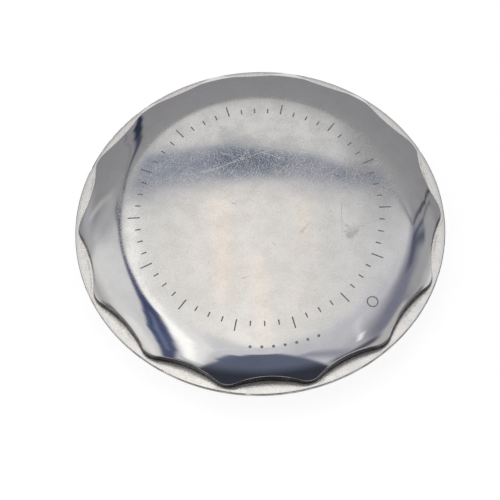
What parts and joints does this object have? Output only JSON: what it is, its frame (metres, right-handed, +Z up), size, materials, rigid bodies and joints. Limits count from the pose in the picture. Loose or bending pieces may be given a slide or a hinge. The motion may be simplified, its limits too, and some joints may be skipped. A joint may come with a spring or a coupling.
{
  "type": "watch case back",
  "caption": "Screw-down watch case back: lobed polished dome with a threaded skirt, a loose pressure ring under the lobes and a round rubber seal.",
  "frame": {"origin": "on the axis, in the plane of the skirt's rim, the face the part stands on", "axes": "+Z up through the dome, along the thread's axis; +X through one lobe tip"},
  "size_m": [0.032, 0.032, 0.005],
  "materials": {
    "polished_steel": "stainless steel, mirror polished and worn, with fine scratches",
    "dull_steel": "thin stainless spring steel, matte, pale grey, speckled with grime near the lobes",
    "seal_rubber": "black rubber cord, slightly greased"
  },
  "bodies": {
    "cover": {"back_cover": "polished_steel"},
    "ring": {"pressure_ring": "dull_steel"},
    "seal": {"sealing_ring": "seal_rubber"}
  },
  "joints": [
    {"name": "ring_turn", "type": "hinge", "parent": "cover", "child": "ring", "pos_m": [0, 0, 0.00296], "axis": [0, 0, 1], "continuous": true},
    {"name": "seal_lift", "type": "slide", "parent": "cover", "child": "seal", "axis": [0, 0, -1], "range_m": [0, 0.004]}
  ]
}
